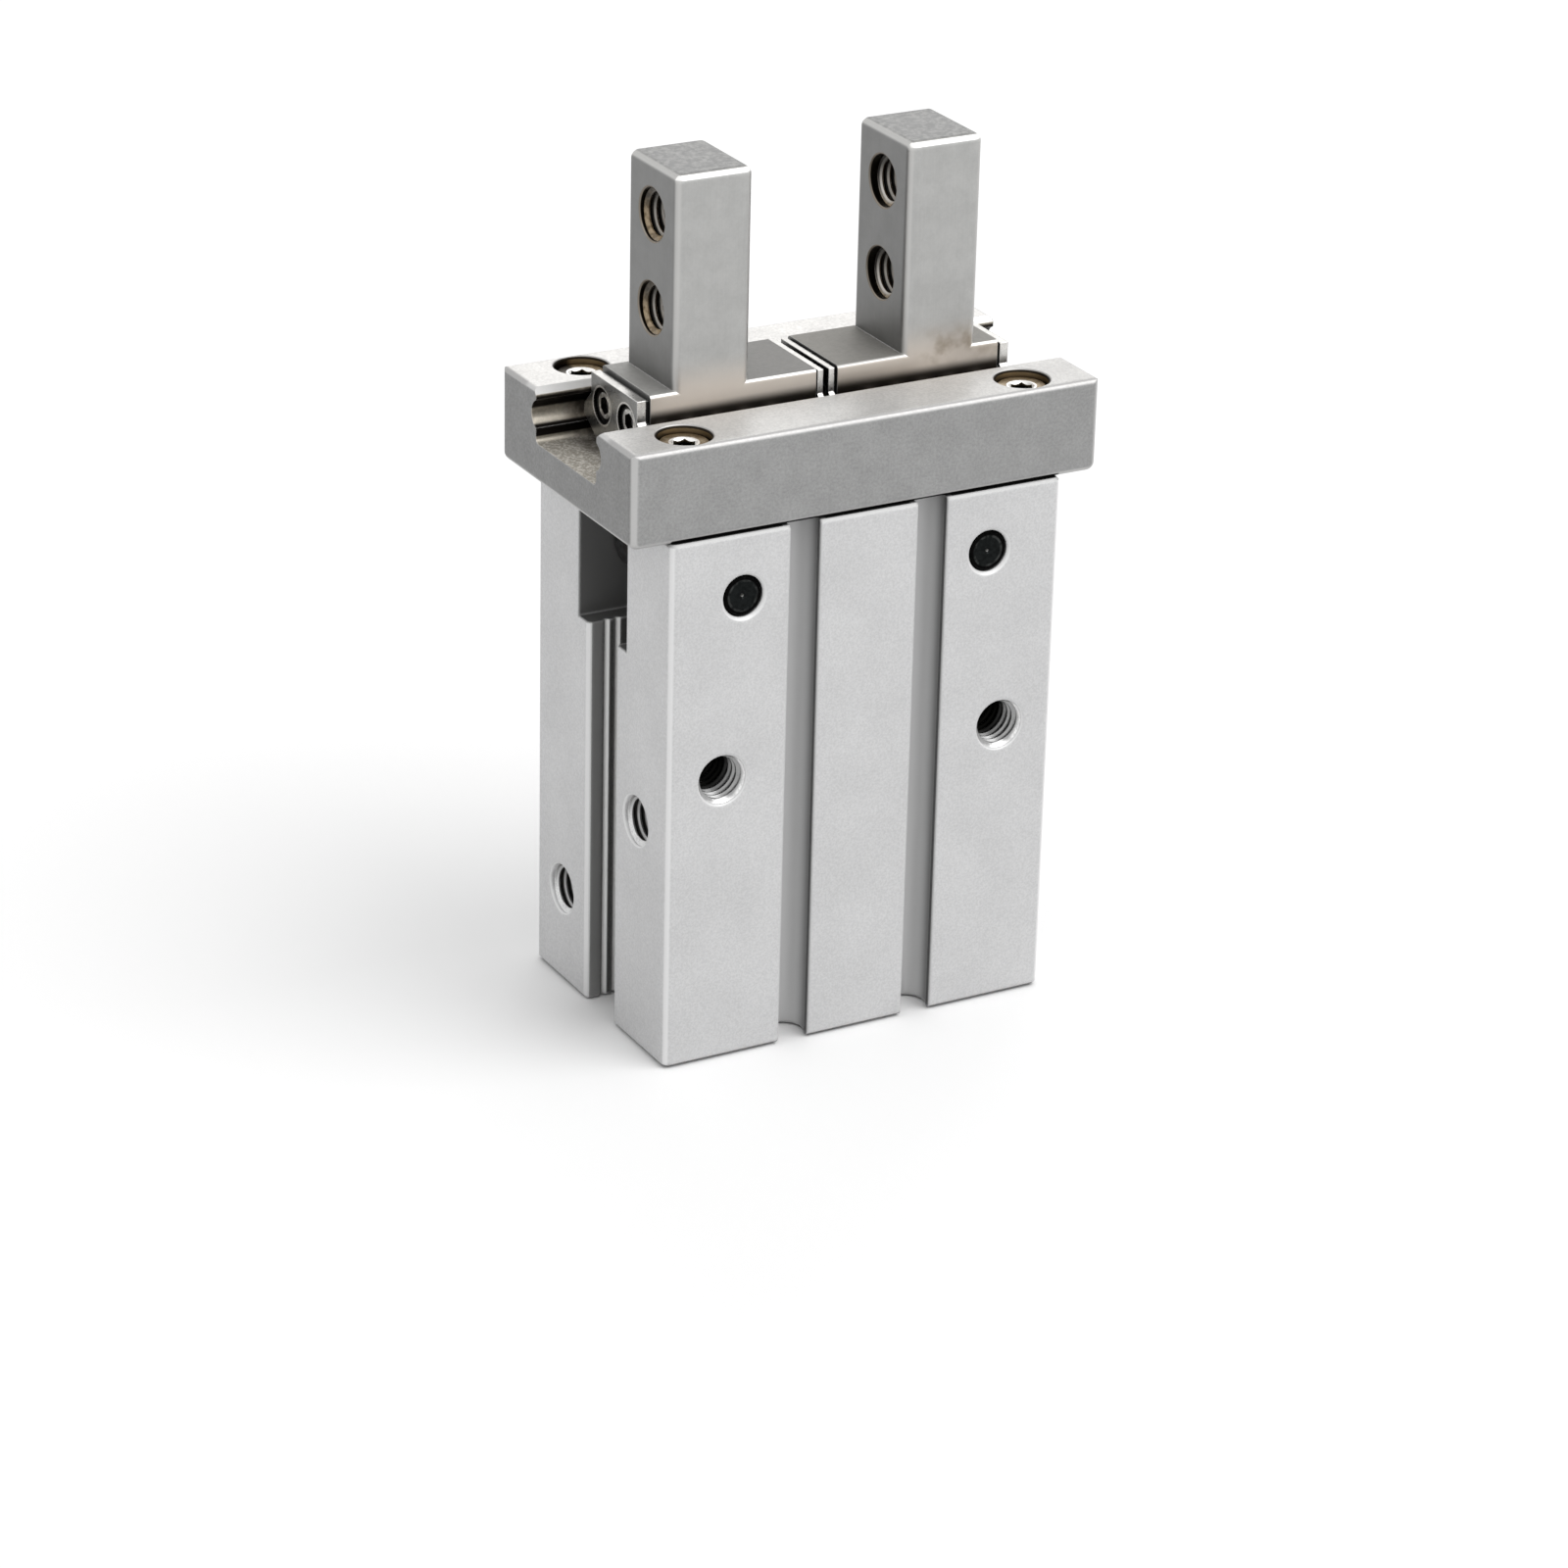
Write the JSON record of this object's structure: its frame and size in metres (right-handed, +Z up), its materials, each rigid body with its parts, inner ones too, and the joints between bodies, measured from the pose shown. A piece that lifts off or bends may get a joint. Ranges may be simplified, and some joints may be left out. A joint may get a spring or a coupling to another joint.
{
  "type": "two-finger pneumatic parallel gripper",
  "caption": "Square aluminium body with a ball guide rail on top, in which two steel fingers slide apart and together, driven by a piston through two levers.",
  "frame": {"origin": "middle of the body's bottom face", "axes": "+X along the fingers' travel, +Y to the rear, +Z up to the finger tips"},
  "size_m": [0.05, 0.0276, 0.086],
  "materials": {
    "body_aluminium": "matte, bead blasted and clear anodised",
    "rail_steel": "ground, fine grinding marks along its length",
    "finger_steel": "satin ground",
    "plate_steel": "bare stamped sheet",
    "gasket_rubber": "matt black",
    "screw_steel": "dull zinc",
    "pin_steel": "black oxide",
    "lever_steel": "dark hardened steel",
    "ball_steel": "polished",
    "shaft_steel": "hard chromed",
    "block_steel": "dark machined steel",
    "piston_aluminium": "turned",
    "magnet": "dark bonded magnet",
    "seal_rubber": "black",
    "bumper_rubber": "soft, amber brown",
    "bush_bronze": "sintered bronze",
    "cap_aluminium": "turned, clear anodised",
    "ring_steel": "phosphated spring steel"
  },
  "bodies": {
    "housing": {"body": "body_aluminium", "guide_rail": "rail_steel", "rail_bolts": "screw_steel", "rail_dowels": "pin_steel", "lever_pins": "pin_steel", "end_cap": "cap_aluminium", "cap_seal": "seal_rubber", "retaining_ring": "ring_steel", "rod_bush": "bush_bronze", "rod_seal": "seal_rubber", "seal_retainer": "cap_aluminium", "lower_bumper": "bumper_rubber", "upper_bumper": "bumper_rubber"},
    "piston_unit": {"piston_rod": "shaft_steel", "joint_block": "block_steel", "piston": "piston_aluminium", "piston_seal": "seal_rubber", "magnet_ring": "magnet", "piston_top": "piston_aluminium", "piston_nut": "screw_steel"},
    "lever_arm_left": {"lever_left": "lever_steel"},
    "slide_left": {"finger_left": "finger_steel", "end_plates_left": "plate_steel", "plate_gaskets_left": "gasket_rubber", "plate_screws_left": "screw_steel"},
    "ball_set_left": {"balls_left": "ball_steel"},
    "lever_arm_right": {"lever_right": "lever_steel"},
    "slide_right": {"finger_right": "finger_steel", "end_plates_right": "plate_steel", "plate_gaskets_right": "gasket_rubber", "plate_screws_right": "screw_steel"},
    "ball_set_right": {"balls_right": "ball_steel"}
  },
  "joints": [
    {"name": "piston_slide", "type": "slide", "parent": "housing", "child": "piston_unit", "axis": [0, 0, 1], "range_m": [0, 0.0036]},
    {"name": "lever_left_pivot", "type": "hinge", "parent": "housing", "child": "lever_arm_left", "pos_m": [-0.01325, 0, 0.0475], "axis": [0, -1, 0], "range_deg": [0, 24]},
    {"name": "finger_left_slide", "type": "slide", "parent": "housing", "child": "slide_left", "axis": [-1, 0, 0], "range_m": [0, 0.00499]},
    {"name": "balls_left_roll", "type": "slide", "parent": "housing", "child": "ball_set_left", "axis": [-1, 0, 0], "range_m": [0, 0.00249]},
    {"name": "lever_right_pivot", "type": "hinge", "parent": "housing", "child": "lever_arm_right", "pos_m": [0.01325, 0, 0.0475], "axis": [0, 1, 0], "range_deg": [0, 24]},
    {"name": "finger_right_slide", "type": "slide", "parent": "housing", "child": "slide_right", "axis": [1, 0, 0], "range_m": [0, 0.00499]},
    {"name": "balls_right_roll", "type": "slide", "parent": "housing", "child": "ball_set_right", "axis": [1, 0, 0], "range_m": [0, 0.00249]}
  ],
  "couplings": [
    {"joint": "lever_left_pivot", "follows": "piston_slide", "rad_per_m": 116.46},
    {"joint": "finger_left_slide", "follows": "piston_slide", "ratio": 1.3873},
    {"joint": "balls_left_roll", "follows": "piston_slide", "ratio": 0.69364},
    {"joint": "lever_right_pivot", "follows": "piston_slide", "rad_per_m": 116.46},
    {"joint": "finger_right_slide", "follows": "piston_slide", "ratio": 1.3873},
    {"joint": "balls_right_roll", "follows": "piston_slide", "ratio": 0.69364}
  ]
}
